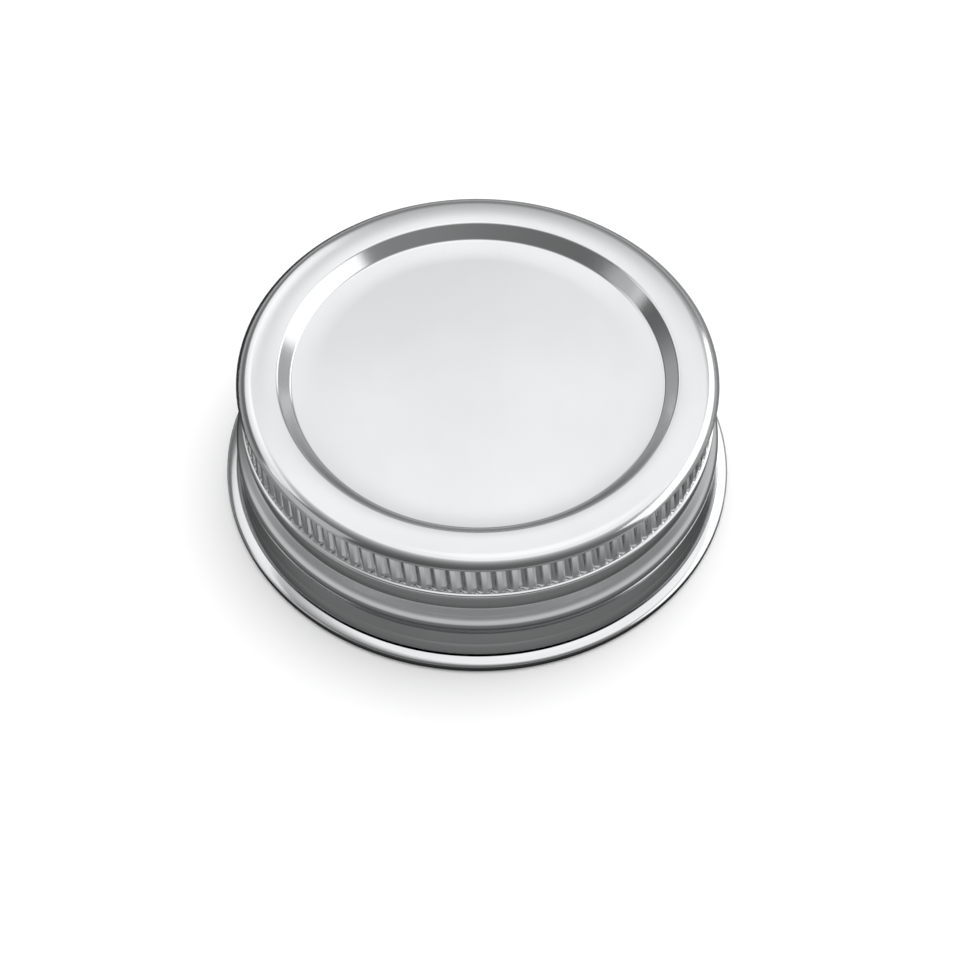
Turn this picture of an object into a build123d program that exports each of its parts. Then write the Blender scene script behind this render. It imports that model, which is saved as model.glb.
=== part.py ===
from build123d import *
import os
from math import atan2, ceil, copysign, cos, degrees, hypot, radians, sin, tan

# A pressed metal screw cap for a wide glass jar, standing on its rolled rim with the closed end up.
# All sizes are in millimetres. The origin is on the axis, in the plane the rim stands on.
# Radii are measured to the outer face of the sheet, and drops are measured down from the flat ring.
# Rounded stretches are taken in short flats of equal turn, and a fold with no bend is sharp.

sheet = 0.25                 # thickness of the metal
height = 22.4                # foot of the rolled rim to the flat ring
facet_turn = 27.5            # most that one flat of a rounded stretch may turn, in degrees
sharp = 0.0

panel_radius = 27.0          # foot of the sloped step around the sunk panel
panel_drop = 2.0
step_width = 1.9             # sloped step, measured across

shoulder_radius = 34.9       # corner where the shoulder ends above the band
shoulder_drop = 1.45
shoulder_slope = 60.0        # steepness of the shoulder's flank, in degrees
shoulder_bend = 2.35         # inside radius of the rounded shoulder
tuck_slope = 35.0            # steepness of the tuck under the shoulder, in degrees

waist_radius = 34.2          # lands between the flutes
flute_count = 100
flute_width = 1.25
flute_depth = 0.4
flute_sides = 8              # sides of the many-sided punch that presses a flute
flute_lean = 5.0             # flutes lean off the upright, in degrees
flute_top_drop = 2.1         # square upper ends
flute_foot_drop = 6.95       # tapered lower ends
flute_taper = 30.0           # taper of the punch at its lower end, in degrees

band_radius = 34.6           # plain band, which stands proud of the lands
ledge_drop = 7.05            # small ledge where the lands meet the plain band
band_top_drop = 7.2
bead_top_drop = 10.35        # crease where the band turns out into the bead
bead_reach = 1.4             # corner of the bead beyond the band, before it is rounded
bead_drop = 12.8
bead_bend = 3.95             # inside radius of the bead
bead_foot_radius = 34.9      # crease below the bead
bead_foot_drop = 15.0

flare_radius = 35.35         # skirt where it starts to flare
flare_drop = 18.1

rim_radius = 37.3            # outermost reach of the rolled rim
rim_curl = 1.3               # outer radius of the roll itself
rim_square = 0.5             # how square the roll is pressed, from 1.0 for round towards 0.0
curl_start = 122.5           # where the sheet runs into the roll, in degrees from outward
curl_end = 87.0              # where the cut edge of the roll stops, just under the lip
curl_flats = 11              # short flats around the roll, with a corner at its foot
lip_run = 1.05               # straight tuck between the lip and the roll
lip_slope = 52.0             # steepness of that tuck, in degrees

seal_depth = 1.1             # depth of the sealing compound under the flat ring
seal_gap = 0.15              # outer edge of the compound to the crests of the flutes inside

full_turn = 360.0


def heading(start, end):
    """Unit vector from one point of the section to the next."""
    length = hypot(end[0] - start[0], end[1] - start[1])
    return ((end[0] - start[0]) / length, (end[1] - start[1]) / length)


def curl_point(radius, angle):
    """Point of the roll at a radius and an angle around its centre, with the circle pressed square."""
    across = copysign(abs(cos(radians(angle))) ** rim_square, cos(radians(angle)))
    rise = copysign(abs(sin(radians(angle))) ** rim_square, sin(radians(angle)))
    return (rim_radius - rim_curl + radius * across, rim_curl + radius * rise)


def curl(radius):
    """Points around the roll at one of its faces, from the skirt to the cut edge."""
    sweep = full_turn + curl_end - curl_start
    angles = [curl_start + sweep * index / curl_flats for index in range(curl_flats + 1)]
    return [curl_point(radius, angle) for angle in angles]


def sheet_folds():
    """Corners of the outer face from the axis to the roll, each with its inside radius."""
    flank = shoulder_drop / tan(radians(shoulder_slope))
    tuck = (shoulder_radius - waist_radius) * tan(radians(tuck_slope))
    roll_start = curl_point(rim_curl - sheet, curl_start)
    lip_radius = roll_start[0] + lip_run * cos(radians(lip_slope))
    lip_level = roll_start[1] + lip_run * sin(radians(lip_slope))
    return [
        (0.0, height - panel_drop, sharp),
        (panel_radius, height - panel_drop, sharp),
        (panel_radius + step_width, height, sharp),
        (shoulder_radius - flank, height, shoulder_bend),
        (shoulder_radius, height - shoulder_drop, sharp),
        (waist_radius, height - shoulder_drop - tuck, sharp),
        (waist_radius, height - ledge_drop, sharp),
        (band_radius, height - band_top_drop, sharp),
        (band_radius, height - bead_top_drop, sharp),
        (band_radius + bead_reach, height - bead_drop, bead_bend),
        (bead_foot_radius, height - bead_foot_drop, sharp),
        (flare_radius, height - flare_drop, sharp),
        (lip_radius, lip_level, sharp),
        (*roll_start, sharp),
    ]


def bent(corner, before, after, bend):
    """Points that carry the line clockwise round a fold with this bend."""
    first = degrees(atan2(before[1], before[0]))
    turn = first - degrees(atan2(after[1], after[0]))
    run = bend * tan(radians(turn) / 2.0)
    centre = (corner[0] - run * before[0] + bend * before[1], corner[1] - run * before[1] - bend * before[0])
    flats = ceil(turn / facet_turn)
    angles = [radians(first + 90.0 - turn * index / flats) for index in range(flats + 1)]
    return [(centre[0] + bend * cos(angle), centre[1] + bend * sin(angle)) for angle in angles]


def face_points(depth):
    """Points of the sheet's face that lies a depth inside the outer face, from the axis to the roll."""
    folds = sheet_folds()
    points = []
    for index, (radius, level, bend) in enumerate(folds):
        before = heading(folds[max(index - 1, 0)], folds[max(index, 1)])
        after = heading(folds[min(index, len(folds) - 2)], folds[min(index + 1, len(folds) - 1)])
        share = depth / (1.0 + before[0] * after[0] + before[1] * after[1])
        corner = (radius + share * (before[1] + after[1]), level - share * (before[0] + after[0]))
        points += [corner] if bend == sharp else bent(corner, before, after, bend + sheet - depth)
    return points


def turned(points):
    """Solid swept by a closed section turning around the axis."""
    return revolve(Plane.XZ * make_face(Polyline(*points, close=True)), Axis.Z, full_turn)


def plain_sheet():
    """The whole sheet before its flutes, from the sunk panel to the cut edge inside the rolled rim."""
    outer = face_points(0.0) + curl(rim_curl - sheet)[1:]
    inner = face_points(sheet) + curl(rim_curl)[1:]
    return turned(outer + inner[::-1])


def space_inside(depth):
    """Solid under the face at a depth in the sheet, down to the crease above the bead."""
    floor = height - bead_top_drop
    above = [point for point in face_points(depth) if point[1] > floor]
    return turned(above + [(above[-1][0], floor), (0.0, floor)])


def flute_punch(inset):
    """Many-sided punch of one flute with a tapered lower end, made larger all round by an inset."""
    flank = radians(full_turn / flute_sides)
    reach = (flute_width / 2.0 - flute_depth / tan(flank)) / tan(flank / 2.0)
    nose_level = height - flute_foot_drop + flute_depth / tan(radians(flute_taper))
    nose_run = nose_level - height + ledge_drop
    half_side = full_turn / flute_sides / 2.0
    side = RegularPolygon(reach + inset, flute_sides, major_radius=False, rotation=half_side)
    stem = extrude(side, height - flute_top_drop + inset - nose_level)
    nose = extrude(side, nose_run, dir=(0, 0, -1), taper=flute_taper)
    middle = height - (flute_top_drop + flute_foot_drop) / 2.0 - nose_level
    leaning = Pos(0, 0, middle) * Rot(flute_lean, 0, 0) * Pos(0, 0, -middle) * (stem + nose)
    return Pos(waist_radius - flute_depth + reach, 0, nose_level) * leaning


def around(shape):
    """Copies of one flute's shape, evenly spaced around the axis."""
    return [Rot(0, 0, index * full_turn / flute_count) * shape for index in range(flute_count)]


def cap_shell():
    """Pressed sheet: sunk panel, step, flat ring, shoulder, flutes, bead, flare and rolled rim."""
    lining = flute_punch(sheet) & space_inside(sheet / 2.0)
    lined = plain_sheet().fuse(*around(lining))
    return lined.cut(*around(flute_punch(0.0)))


def sealing_ring():
    """Compound that fills the channel under the flat ring to a level face."""
    seal_radius = waist_radius - flute_depth - sheet - seal_gap
    from_above = (Align.CENTER, Align.CENTER, Align.MAX)
    channel = Pos(0, 0, height - sheet) * Cylinder(seal_radius, seal_depth, align=from_above)
    return space_inside(sheet) & channel


def write(name, shape):
    shape.label = name
    export_step(shape, f"parts/{name}.step")


os.makedirs("parts", exist_ok=True)
write("cap_shell", cap_shell())
write("sealing_ring", sealing_ring())
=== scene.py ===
import bpy
import bmesh
from math import atan2, ceil, cos, hypot, pi, radians, sin, sqrt, tan
from mathutils import Matrix, Vector


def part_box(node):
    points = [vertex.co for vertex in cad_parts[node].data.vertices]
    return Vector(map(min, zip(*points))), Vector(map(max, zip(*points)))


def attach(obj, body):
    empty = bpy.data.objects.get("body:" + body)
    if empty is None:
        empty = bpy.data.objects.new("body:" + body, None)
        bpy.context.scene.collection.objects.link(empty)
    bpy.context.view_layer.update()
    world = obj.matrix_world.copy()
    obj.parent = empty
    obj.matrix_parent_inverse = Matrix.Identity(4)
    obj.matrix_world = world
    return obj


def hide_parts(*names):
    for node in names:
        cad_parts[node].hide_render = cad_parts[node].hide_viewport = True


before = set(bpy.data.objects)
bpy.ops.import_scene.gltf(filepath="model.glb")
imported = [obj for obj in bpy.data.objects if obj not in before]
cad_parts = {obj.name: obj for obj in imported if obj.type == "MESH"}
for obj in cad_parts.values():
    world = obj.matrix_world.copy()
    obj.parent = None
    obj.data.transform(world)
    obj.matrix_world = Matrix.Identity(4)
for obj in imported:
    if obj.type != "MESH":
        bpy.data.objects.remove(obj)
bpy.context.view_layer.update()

# The cap's sheet: one disc of bright tinplate, a quarter of a millimetre thick, pressed in a single
# run of tools into a sunk panel, a flat ring, a rounded shoulder and a skirt. The skirt is rolled
# over flutes for the fingers and a bead, then flared, and its raw edge is curled outwards and up.
mm = 0.001
full_turn = 2.0 * pi
cap_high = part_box("cap_shell")[1]
height = cap_high.z
rim_radius = cap_high.x
sheet = 0.25 * mm
sharp = 0.0

# Radii are to the outer face of the sheet, drops are measured down from the flat ring, and a bend is
# the inside radius of a fold.
panel_radius = 27.0 * mm
panel_drop = 2.0 * mm
panel_bend = 0.7 * mm
panel_rings = (0.3, 0.6, 0.85)  # shares of the panel's radius where its mesh has a ring
step_width = 1.9 * mm
ring_radius = panel_radius + step_width
ring_bend = 0.45 * mm

shoulder_radius = 34.9 * mm
shoulder_drop = 1.45 * mm
shoulder_slope = radians(60.0)
shoulder_bend = 2.35 * mm
tuck_slope = radians(35.0)
tuck_bend = 0.15 * mm

waist_radius = 34.2 * mm
ledge_drop = 7.45 * mm
ledge_bend = 0.08 * mm
band_radius = 34.6 * mm
band_top_drop = 7.6 * mm
band_taper = 0.12 * mm
band_foot_bend = 0.1 * mm
crease_rise = 0.3 * mm
crease_depth = 0.14 * mm
crease_bend = 0.12 * mm

bead_top_drop = 10.85 * mm
bead_reach = 1.4 * mm
bead_drop = 13.55 * mm
bead_bend = 3.95 * mm
bead_foot_radius = 34.9 * mm
bead_foot_drop = 16.05 * mm
bead_foot_bend = 0.4 * mm
flare_radius = 35.35 * mm
flare_drop = 18.1 * mm
flare_bend = 1.5 * mm

rim_curl = 1.3 * mm
rim_square = 4.0  # power of the roll's outline: 2.0 is a circle, and more is squarer
top_press = 0.56  # height of the roll's pressed upper half, against a roll that isn't pressed
top_slope = 0.6  # how much lower that half is at its outer side than in the middle
curl_start = radians(128.6)  # where the sheet runs into the roll, from straight out
curl_end = radians(455.0)  # where its cut edge stops
lip_run = 0.8 * mm
lip_slope = radians(38.0)
lip_bend = 0.05 * mm

flute_count = 100
flute_columns = 10
flute_width = 1.25 * mm
flute_depth = 0.55 * mm
flute_bottom = -0.688  # place of the deepest line, from -1.0 to 1.0 across the flute
flute_hollow = 1.2  # how hollow the wide side of a flute is, from 1.0 for flat
flute_spread = sheet / 3.0  # how much wider a flute is inside the cap, on each side
flute_lean = radians(5.0)
flute_top_drop = 2.1 * mm
flute_foot_drop = 7.36 * mm
flute_end = 0.08 * mm
narrowest_foot = 0.01

outer_bend_step = radians(12.0)
inner_bend_step = radians(30.0)
fewest_bend_steps = 2
outer_foot_rows = 7
inner_foot_rows = 4
roll_steps = 22
weld_gap = 0.001 * mm
axis_reach = 0.1 * mm
crisp_fold = radians(50.0)


def heading(start, end):
    """Unit vector from one point of the section to another."""
    run = hypot(end[0] - start[0], end[1] - start[1])
    return ((end[0] - start[0]) / run, (end[1] - start[1]) / run)


def within(point, way, depth):
    """The point moved a depth to the inside of the sheet, square to the way the section runs."""
    return (point[0] + depth * way[1], point[1] - depth * way[0])


def rounded_line(folds, depth, bend_step):
    """Section line a depth inside the folds' outer face, with each fold bent round its inside radius."""
    line = [within(folds[0], heading(folds[0], folds[1]), depth)]
    for before_fold, (radius, level, bend), after_fold in zip(folds, folds[1:], folds[2:]):
        before = heading(before_fold, (radius, level))
        after = heading((radius, level), after_fold)
        cross = before[0] * after[1] - before[1] * after[0]
        turn = atan2(cross, before[0] * after[0] + before[1] * after[1])
        both_ways = (before[0] + after[0], before[1] + after[1])
        corner = within((radius, level), both_ways, depth / (1.0 + cos(turn)))
        side = 1.0 if turn > 0 else -1.0
        round_radius = bend + depth if side > 0 else bend + sheet - depth
        run = round_radius * tan(abs(turn) / 2.0)
        bend_start = (corner[0] - run * before[0], corner[1] - run * before[1])
        centre = within(bend_start, before, -side * round_radius)
        steps = max(fewest_bend_steps, ceil(abs(turn) / bend_step))
        first = atan2(-before[0] * side, before[1] * side)
        for index in range(steps + 1):
            angle = first + turn * index / steps
            line.append((centre[0] + round_radius * cos(angle), centre[1] + round_radius * sin(angle)))
    line.append(within(folds[-1], heading(folds[-2], folds[-1]), depth))
    return line


def curl_point(radius, angle):
    """Point of the roll at an angle around its centre: a circle pressed square, with a low sloping top."""
    squared = abs(cos(angle)) ** rim_square + abs(sin(angle)) ** rim_square
    reach = radius / squared ** (1.0 / rim_square)
    across, rise = reach * cos(angle), reach * sin(angle)
    if rise > 0.0:
        rise *= top_press * (1.0 - top_slope * across / radius)
    return (rim_radius - rim_curl + across, rim_curl + rise)


def with_flute_rows(line, foot_rows):
    """The line with extra points down the fluted band, close together where the flutes end."""
    for index in range(len(line) - 1):
        upper, lower = line[index], line[index + 1]
        if upper[1] > height - flute_top_drop and lower[1] < height - flute_foot_drop:
            turns = [radians(90.0) * row / foot_rows for row in range(foot_rows + 1)]
            drops = [flute_foot_drop - flute_width / 2.0 * (1.0 - sin(turn)) for turn in turns]
            drops = [flute_top_drop, flute_top_drop + flute_end] + drops
            shares = [(upper[1] - height + drop) / (upper[1] - lower[1]) for drop in drops]
            extra = [(upper[0] + (lower[0] - upper[0]) * share, upper[1] + (lower[1] - upper[1]) * share)
                     for share in shares]
            return line[:index + 1] + extra + line[index + 1:]
    return line


def flute_at(across, below, half_width):
    """How deep a flute is at a distance across it and below the start of its rounded lower end."""
    foot = sqrt(max(0.0, 1.0 - (below / half_width) ** 2))
    share = across / half_width / max(foot, narrowest_foot)
    if abs(share) >= 1.0:
        return 0.0
    if share < flute_bottom:
        return flute_depth * foot * (1.0 + share) / (1.0 + flute_bottom)
    return flute_depth * foot * ((1.0 - share) / (1.0 - flute_bottom)) ** flute_hollow


def drawn_line(shape, line, closed=False):
    """Vertices and edges of a section line, standing on the X axis."""
    verts = [shape.verts.new((radius, 0.0, level)) for radius, level in line]
    ends = verts[1:] + verts[:1] if closed else verts[1:]
    return verts + [shape.edges.new(pair) for pair in zip(verts, ends)]


def spun(shape, items, angle, steps, **how):
    """Turn parts of a shape around the cap's axis."""
    bmesh.ops.spin(shape, geom=items, cent=(0, 0, 0), axis=(0, 0, 1), angle=angle, steps=steps, **how)


def placed(name, shape):
    """The object made from a finished shape."""
    mesh = bpy.data.meshes.new(name)
    shape.to_mesh(mesh)
    shape.free()
    piece = bpy.data.objects.new(name, mesh)
    bpy.context.scene.collection.objects.link(piece)
    return piece


def smoothed(piece):
    """Shade a piece smooth, apart from its crisp folds."""
    for polygon in piece.data.polygons:
        polygon.use_smooth = True
    piece.data.set_sharp_from_angle(angle=crisp_fold)


flank = shoulder_drop / tan(shoulder_slope)
tuck = (shoulder_radius - waist_radius) * tan(tuck_slope)
band_foot_radius = band_radius - band_taper
roll_start = curl_point(rim_curl - sheet, curl_start)
lip = (roll_start[0] + lip_run * cos(lip_slope), roll_start[1] + lip_run * sin(lip_slope))
sheet_folds = [
    (0.0, height - panel_drop, sharp),
    (panel_radius, height - panel_drop, panel_bend),
    (ring_radius, height, ring_bend),
    (shoulder_radius - flank, height, shoulder_bend),
    (shoulder_radius, height - shoulder_drop, tuck_bend),
    (waist_radius, height - shoulder_drop - tuck, tuck_bend),
    (waist_radius, height - ledge_drop, ledge_bend),
    (band_radius, height - band_top_drop, sharp),
    (band_foot_radius, height - bead_top_drop + crease_rise, band_foot_bend),
    (band_foot_radius - crease_depth, height - bead_top_drop, crease_bend),
    (band_radius + bead_reach, height - bead_drop, bead_bend),
    (bead_foot_radius, height - bead_foot_drop, bead_foot_bend),
    (flare_radius, height - flare_drop, flare_bend),
    (*lip, lip_bend),
    (*roll_start, sharp),
]
outer = with_flute_rows(rounded_line(sheet_folds, 0.0, outer_bend_step), outer_foot_rows)
inner = with_flute_rows(rounded_line(sheet_folds, sheet, inner_bend_step), inner_foot_rows)
roll_sweep = curl_end - curl_start
roll_turns = [curl_start + roll_sweep * step / roll_steps for step in range(1, roll_steps + 1)]
roll_inside = [curl_point(rim_curl - sheet, turn) for turn in roll_turns[1::2]]
roll_outside = [curl_point(rim_curl, turn) for turn in roll_turns[::-1]]
panel_rows = [(panel_radius * share, height - panel_drop) for share in panel_rings]
section = outer[:1] + panel_rows + outer[1:] + roll_inside + roll_outside + inner[::-1]

# One flute's width of the sheet is spun in a few columns, and then copied around the axis.
cap = bmesh.new()
pitch = full_turn / flute_count
spun(cap, drawn_line(cap, section), pitch, flute_columns)
one_pitch = cap.verts[:] + cap.edges[:] + cap.faces[:]
spun(cap, one_pitch, full_turn - pitch, flute_count - 1, use_duplicate=True)
bmesh.ops.remove_doubles(cap, verts=cap.verts, dist=weld_gap)
bmesh.ops.recalc_face_normals(cap, faces=cap.faces)

# Both faces are pressed in where a flute lies, and the fluted band is twisted so that flutes lean.
flute_roof = height - flute_top_drop - flute_end / 2.0
flute_foot = height - flute_foot_drop + flute_width / 2.0
flute_middle = height - (flute_top_drop + flute_foot_drop) / 2.0
for vert in cap.verts:
    radius = hypot(vert.co.x, vert.co.y)
    if radius < axis_reach:
        continue
    level = vert.co.z
    turn = atan2(vert.co.y, vert.co.x)
    across = (turn / pitch + 0.5) % 1.0 - 0.5
    spread = 0.0 if radius > waist_radius - sheet / 2.0 else flute_spread
    in_band = height - band_top_drop < level < flute_roof
    if in_band and radius > waist_radius - 2.0 * sheet:
        below = max(0.0, flute_foot - level)
        radius -= flute_at(across * pitch * waist_radius, below, flute_width / 2.0 + spread)
    held = min(max(level, height - flute_foot_drop), height - flute_top_drop)
    turn -= (held - flute_middle) * tan(flute_lean) / waist_radius
    vert.co.x = radius * cos(turn)
    vert.co.y = radius * sin(turn)
pressed_cap = placed("pressed_cap", cap)
smoothed(pressed_cap)

# Bright rolled tinplate has a fine grain from the rolling mill, and a slight cloudiness.
grain_scale = (1500.0, 60.0, 1500.0)
grain_detail = 4.0
grain_strength = 0.015
grain_height = 0.05 * mm
polish = (0.12, 0.16)
cloud_scale = 60.0
cloud_detail = 3.0
cloud_dark = (0.3, (0.76, 0.77, 0.78))
cloud_light = (0.7, (0.80, 0.81, 0.82))


def feed(tree, node, values):
    """Set a node's sockets to values, or join them to the outputs of other nodes."""
    for socket, value in values.items():
        if isinstance(value, bpy.types.NodeSocket):
            tree.links.new(value, node.inputs[socket])
        else:
            node.inputs[socket].default_value = value


def added(tree, kind, values=None, **settings):
    """A new node, with its settings made and its sockets fed."""
    node = tree.nodes.new(kind)
    for setting, value in settings.items():
        setattr(node, setting, value)
    feed(tree, node, values or {})
    return node


def noise(tree, place, scale, detail):
    """Soft random tones over a surface."""
    tones = added(tree, "ShaderNodeTexNoise", {"Vector": place, "Scale": scale, "Detail": detail})
    return tones.outputs["Fac"]


def bumped(tree, tones, strength, depth):
    """Normals of a surface that rises and falls with its tones."""
    bump = added(tree, "ShaderNodeBump", {"Height": tones, "Strength": strength, "Distance": depth})
    return bump.outputs["Normal"]


def colour_ramp(tree, source, stops):
    """Colours along a value from 0 to 1, with each stop at its own value."""
    ramp = added(tree, "ShaderNodeValToRGB", {"Fac": source})
    while len(ramp.color_ramp.elements) < len(stops):
        ramp.color_ramp.elements.new(0.5)
    for element, (value, colour) in zip(ramp.color_ramp.elements, stops):
        element.position = value
        element.color = (*colour, 1.0)
    return ramp.outputs["Color"]


def new_material(piece, name):
    """The node tree of a new material on a piece."""
    material = bpy.data.materials.new(name)
    material.use_nodes = True
    piece.data.materials.append(material)
    return material.node_tree


tinplate = new_material(pressed_cap, "tinplate")
place = added(tinplate, "ShaderNodeTexCoord").outputs["Object"]
along = added(tinplate, "ShaderNodeMapping", {"Vector": place, "Scale": grain_scale}).outputs["Vector"]
grain = noise(tinplate, along, 1.0, grain_detail)
cloud = noise(tinplate, place, cloud_scale, cloud_detail)
dull = added(tinplate, "ShaderNodeMapRange", {"Value": grain, "To Min": polish[0], "To Max": polish[1]})
feed(tinplate, tinplate.nodes["Principled BSDF"], {
    "Metallic": 1.0,
    "Base Color": colour_ramp(tinplate, cloud, (cloud_dark, cloud_light)),
    "Roughness": dull.outputs["Result"],
    "Normal": bumped(tinplate, grain, grain_strength, grain_height),
})
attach(pressed_cap, "root")
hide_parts("cap_shell")

# The sealing ring: a soft, pale compound that is poured into the channel under the flat ring and
# sets there level, with a slightly raised edge where it wets the metal.
ring_low, ring_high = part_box("sealing_ring")
seal_radius = ring_high.x
seal_floor = ring_low.z
seal_roof = ring_high.z
seal_steps = 240
roof_start = 0.1 * mm
roof_inset = 1.3 * mm
corner_inset = 0.2 * mm
corner_drop = 0.45 * mm
step_edge = ((0.25, 0.1), (0.38, 0.02), (0.7, 0.0))  # out from the step and up from the face, in mm
outer_edge = ((1.2, 0.0), (0.3, 0.03), (0.05, 0.1), (0.0, 0.25))  # in from the edge and up, in mm
step_inner = panel_radius + (seal_floor - (height - panel_drop)) * step_width / panel_drop
seal_line = [
    (ring_radius + roof_start, seal_roof),
    *[(step_inner + out * mm, seal_floor + up * mm) for out, up in step_edge],
    *[(seal_radius - back * mm, seal_floor + up * mm) for back, up in outer_edge],
    (seal_radius - corner_inset, seal_roof - corner_drop),
    (seal_radius - roof_inset, seal_roof),
]
seal = bmesh.new()
spun(seal, drawn_line(seal, seal_line, closed=True), full_turn, seal_steps, use_merge=True)
bmesh.ops.recalc_face_normals(seal, faces=seal.faces)
sealing_compound = placed("sealing_compound", seal)
smoothed(sealing_compound)

mottle_scale = 220.0
mottle_detail = 5.0
mottle_strength = 0.2
mottle_height = 0.1 * mm
compound_dark = (0.70, 0.68, 0.62)
compound_light = (0.82, 0.80, 0.75)
compound_roughness = 0.55
compound = new_material(sealing_compound, "compound")
place = added(compound, "ShaderNodeTexCoord").outputs["Object"]
mottle = noise(compound, place, mottle_scale, mottle_detail)
feed(compound, compound.nodes["Principled BSDF"], {
    "Base Color": colour_ramp(compound, mottle, ((0.0, compound_dark), (1.0, compound_light))),
    "Roughness": compound_roughness,
    "Normal": bumped(compound, mottle, mottle_strength, mottle_height),
})
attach(sealing_compound, "root")
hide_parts("sealing_ring")

# The floor of the studio: a wide white sheet under the cap. It glows a little where the camera or
# the metal sees it, and takes its soft shadow from the light of the room.
floor_half = 2.0
floor_white = (0.85, 0.85, 0.85, 1.0)
floor_glow = 0.1
sweep = bmesh.new()
bmesh.ops.create_grid(sweep, x_segments=1, y_segments=1, size=floor_half)
floor = placed("floor", sweep)


def worked_out(tree, operation, *values):
    """A number worked out from values or from the outputs of other nodes."""
    return added(tree, "ShaderNodeMath", dict(enumerate(values)), operation=operation).outputs[0]


white = new_material(floor, "white_sweep")
white.nodes.clear()
rays = added(white, "ShaderNodeLightPath").outputs
seen = worked_out(white, "MAXIMUM", rays["Is Camera Ray"], rays["Is Glossy Ray"])
seen_through = worked_out(white, "MAXIMUM", seen, rays["Is Transmission Ray"])
glow_strength = worked_out(white, "MULTIPLY", seen_through, floor_glow)
diffuse = added(white, "ShaderNodeBsdfDiffuse", {"Color": floor_white}).outputs[0]
glow = added(white, "ShaderNodeEmission", {"Strength": glow_strength}).outputs[0]
both = added(white, "ShaderNodeAddShader", {0: diffuse, 1: glow}).outputs[0]
added(white, "ShaderNodeOutputMaterial", {"Surface": both})

# The room that the metal mirrors: a wide soft light overhead, leaning back and to the right, that
# fades to dark walls, and a faint light at the horizon, with more of it behind the cap. The camera
# sees plain white instead, and the floor gets extra light.
lamp_back_tilt = radians(12.0)
lamp_right_tilt = radians(8.0)
floor_extra = 1.5
plain_white = (1.0, 1.0, 1.0, 1.0)
overhead_stops = (  # degrees off the light's middle, and the grey there
    (0.0, 1.25), (12.0, 1.2), (18.0, 1.06), (24.0, 1.08), (28.0, 1.16), (31.0, 0.88), (34.5, 0.64),
    (39.0, 0.48), (45.0, 0.36), (51.0, 0.27), (57.0, 0.2), (69.0, 0.13), (82.0, 0.08), (95.0, 0.05))
horizon_stops = ((0.0, 0.22), (9.0, 0.22), (15.0, 0.08), (21.0, 0.02), (35.0, 0.0))  # degrees up
low_band_stops = ((-3.0, 1.0), (8.0, 1.0), (18.0, 0.0))  # degrees up
behind_stops = ((-0.1, 0.0), (0.35, 0.1), (1.0, 0.1))  # how far the way looks to the back


def tone_ramp(tree, source, low, high, stops):
    """Greys along a value that runs from low to high, with each stop at its own value."""
    spread = added(tree, "ShaderNodeMapRange", {"Value": source, "From Min": low, "From Max": high})
    greys = [((value - low) / (high - low), (grey, grey, grey)) for value, grey in stops]
    return colour_ramp(tree, spread.outputs["Result"], greys)


def at_heights(stops):
    """Stops at degrees above the horizon, moved to the heights that a way of unit length has there."""
    return [(sin(radians(angle)), grey) for angle, grey in stops]


def vector_worked_out(tree, operation, *values):
    """Outputs of a sum on vectors or on the outputs of other nodes."""
    return added(tree, "ShaderNodeVectorMath", dict(enumerate(values)), operation=operation).outputs


def mixed(tree, blend, first, second):
    """Two colours added or multiplied in full."""
    colours = {"Factor": 1.0, "A": first, "B": second}
    return added(tree, "ShaderNodeMix", colours, data_type="RGBA", blend_type=blend).outputs["Result"]


world = bpy.data.worlds.new("studio")
bpy.context.scene.world = world
world.use_nodes = True
room = world.node_tree
way = added(room, "ShaderNodeTexCoord").outputs["Generated"]
lamp_middle = Vector((tan(lamp_right_tilt), tan(lamp_back_tilt), 1.0)).normalized()
facing = vector_worked_out(room, "DOT_PRODUCT", way, lamp_middle)["Value"]
off_lamp = worked_out(room, "ARCCOSINE", facing)
overhead_angles = [(radians(angle), grey) for angle, grey in overhead_stops]
overhead = tone_ramp(room, off_lamp, 0.0, pi, overhead_angles)
way_parts = added(room, "ShaderNodeSeparateXYZ", {0: way}).outputs
horizon = tone_ramp(room, way_parts["Z"], -1.0, 1.0, at_heights(horizon_stops))
behind = tone_ramp(room, way_parts["Y"], -1.0, 1.0, behind_stops)
low_band = tone_ramp(room, way_parts["Z"], -1.0, 1.0, at_heights(low_band_stops))
low_light = mixed(room, "ADD", horizon, mixed(room, "MULTIPLY", behind, low_band))
walls = mixed(room, "ADD", overhead, low_light)
rays = added(room, "ShaderNodeLightPath").outputs
shown = {"Factor": rays["Is Camera Ray"], "A": walls, "B": plain_white}
feed(room, room.nodes["Background"], {
    "Color": added(room, "ShaderNodeMix", shown, data_type="RGBA").outputs["Result"],
    "Strength": worked_out(room, "MULTIPLY_ADD", rays["Is Diffuse Ray"], floor_extra, 1.0),
})

# Three soft lamps stand around the cap and show as light bands in its metal. They don't light what
# is dull, so the floor under the cap stays even.
lamp_distance = 0.8


def soft_lamp(name, azimuth, elevation, width, tall, radiance):
    """A flat lamp that faces the cap, at 0 degrees behind it and 90 to its right, seen from the camera."""
    data = bpy.data.lights.new(name, "AREA")
    data.shape = "RECTANGLE"
    data.size = width
    data.size_y = tall
    data.energy = radiance * pi * width * tall
    lamp = bpy.data.objects.new(name, data)
    level = lamp_distance * cos(radians(elevation))
    rise = lamp_distance * sin(radians(elevation))
    lamp.location = (level * sin(radians(azimuth)), level * cos(radians(azimuth)), rise)
    lamp.rotation_euler = (-lamp.location).to_track_quat("-Z", "Y").to_euler()
    lamp.visible_diffuse = False
    bpy.context.scene.collection.objects.link(lamp)


soft_lamp("right_softbox", azimuth=75.0, elevation=30.0, width=1.1, tall=0.42, radiance=1.2)
soft_lamp("back_left_softbox", azimuth=308.0, elevation=44.0, width=0.95, tall=0.3, radiance=0.7)
soft_lamp("left_softbox", azimuth=255.0, elevation=25.0, width=0.6, tall=0.3, radiance=0.4)

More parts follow.
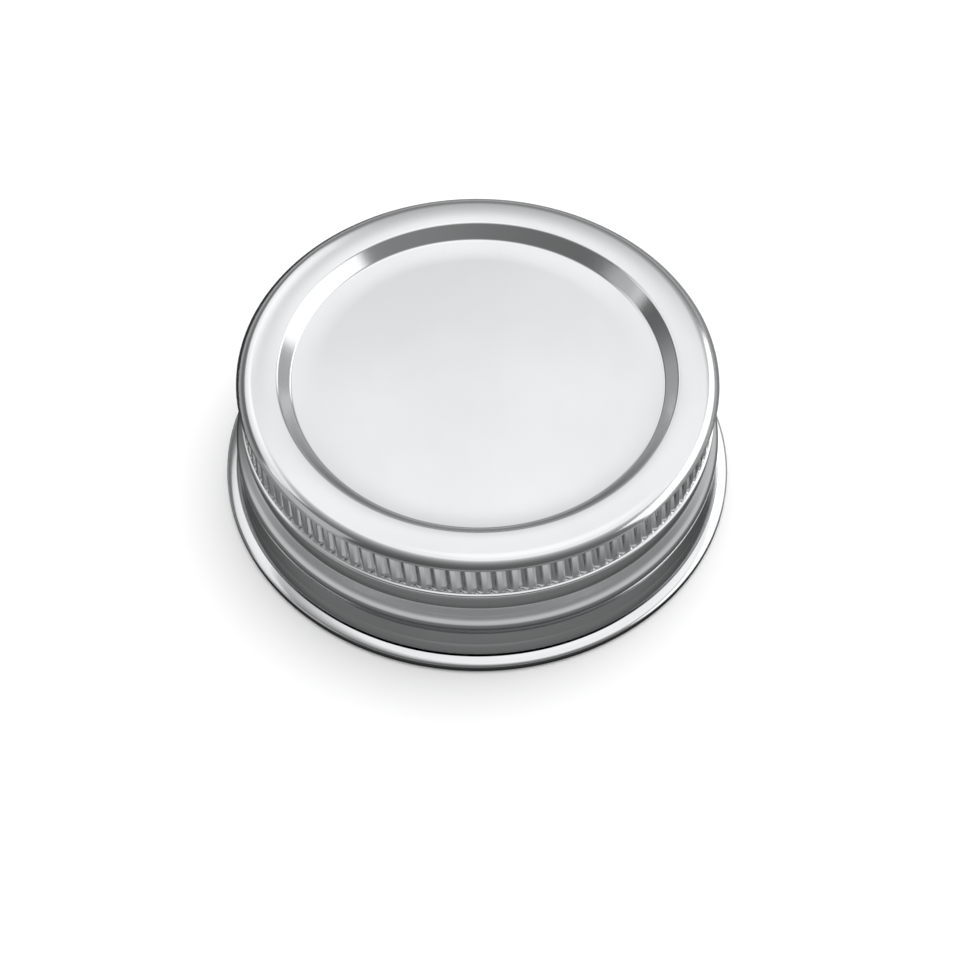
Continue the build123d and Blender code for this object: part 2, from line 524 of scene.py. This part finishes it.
# A flat sheet lies around the cap, with a hole where the cap stands. Only the metal sees it, and its
# glow is a painted reflection of the floor: painted shadow right at the cap, a lighter band further
# out and painted shade on its back left side. It gives the skirt its dark and light bands.
mat_hole = 34.0 * mm
mat_growth = 35.0
mat_sides = 96
mat_lift = 0.05 * mm
mat_from = 36.0 * mm
mat_to = 116.0 * mm
# Painted shadow of the cap close to the hole, and a painted band of light further out.
painted_shade_and_light_stops = (  # millimetres from the axis, and the grey there
    (37.0, 0.01), (38.5, 0.06), (40.0, 0.10), (41.5, 0.17), (43.5, 0.16), (45.0, 0.21), (46.5, 0.4),
    (48.0, 0.58), (52.0, 0.62), (60.0, 0.6), (75.0, 0.38), (100.0, 0.28))
# Painted shade: the sheet glows less on its back left side, away from the light side.
light_side = (0.8, -0.6, 0.0)
painted_side_shade_stops = ((-0.95, 0.15), (-0.7, 1.0), (1.0, 1.0))  # how far a place is to the light side
mat_shape = bmesh.new()
bmesh.ops.create_circle(mat_shape, cap_ends=False, radius=mat_hole, segments=mat_sides)
mat_edge = bmesh.ops.extrude_edge_only(mat_shape, edges=mat_shape.edges[:])["geom"]
mat_rim = [item for item in mat_edge if isinstance(item, bmesh.types.BMVert)]
bmesh.ops.scale(mat_shape, vec=(mat_growth, mat_growth, 1.0), verts=mat_rim)
painted_reflection_sheet = placed("painted_reflection_sheet", mat_shape)
painted_reflection_sheet.location.z = mat_lift

grey = new_material(painted_reflection_sheet, "painted_reflection_sheet")
grey.nodes.clear()
place = added(grey, "ShaderNodeTexCoord").outputs["Object"]
from_axis = vector_worked_out(grey, "LENGTH", place)["Value"]
mat_radii = [(radius * mm, tone) for radius, tone in painted_shade_and_light_stops]
painted_shade_and_light = tone_ramp(grey, from_axis, mat_from, mat_to, mat_radii)
toward = vector_worked_out(grey, "NORMALIZE", place)[0]
to_light_side = vector_worked_out(grey, "DOT_PRODUCT", toward, light_side)["Value"]
painted_side_shade = tone_ramp(grey, to_light_side, -1.0, 1.0, painted_side_shade_stops)
glow = added(grey, "ShaderNodeEmission", {"Color": mixed(grey, "MULTIPLY", painted_shade_and_light, painted_side_shade)})
added(grey, "ShaderNodeOutputMaterial", {"Surface": glow.outputs[0]})
for ray in ("camera", "diffuse", "transmission", "shadow", "volume_scatter"):
    setattr(painted_reflection_sheet, "visible_" + ray, False)

# The camera stands where the photograph was taken from, looking down at the cap from the front, and
# aims so that the middle of the flat ring falls on its own place in the picture.
camera_rise = radians(50.13)
camera_distance = 0.420
camera_roll = radians(0.40)
camera_near = 0.01
focal_pixels = 2919.0
picture_pixels = 960.0
film_width = 36.0
aim_column = 477.87
aim_row = 370.22
top_centre = Vector((0.0, 0.0, height))
outward = Vector((0.0, -cos(camera_rise), sin(camera_rise)))
right = Vector((1.0, 0.0, 0.0))
up = right.cross(-outward)
from_world = Matrix((right, up, -outward))
off_middle = (aim_column - picture_pixels / 2.0, picture_pixels / 2.0 - aim_row)
seen_at = Vector((*off_middle, focal_pixels)).normalized()
roll_up = Vector((sin(camera_roll), cos(camera_roll), 0.0))
sideways = roll_up.cross(seen_at).normalized()
upward = seen_at.cross(sideways)
to_camera = Matrix((sideways, upward, seen_at)).transposed() @ from_world
turned = Matrix((to_camera[0], to_camera[1], -to_camera[2])).transposed()
camera_data = bpy.data.cameras.new("camera")
camera_data.sensor_width = film_width
camera_data.lens = focal_pixels * film_width / picture_pixels
camera_data.clip_start = camera_near
camera = bpy.data.objects.new("camera", camera_data)
camera.matrix_world = Matrix.Translation(top_centre + outward * camera_distance) @ turned.to_4x4()
bpy.context.scene.collection.objects.link(camera)
bpy.context.scene.camera = camera
bpy.context.scene.view_settings.view_transform = "Standard"
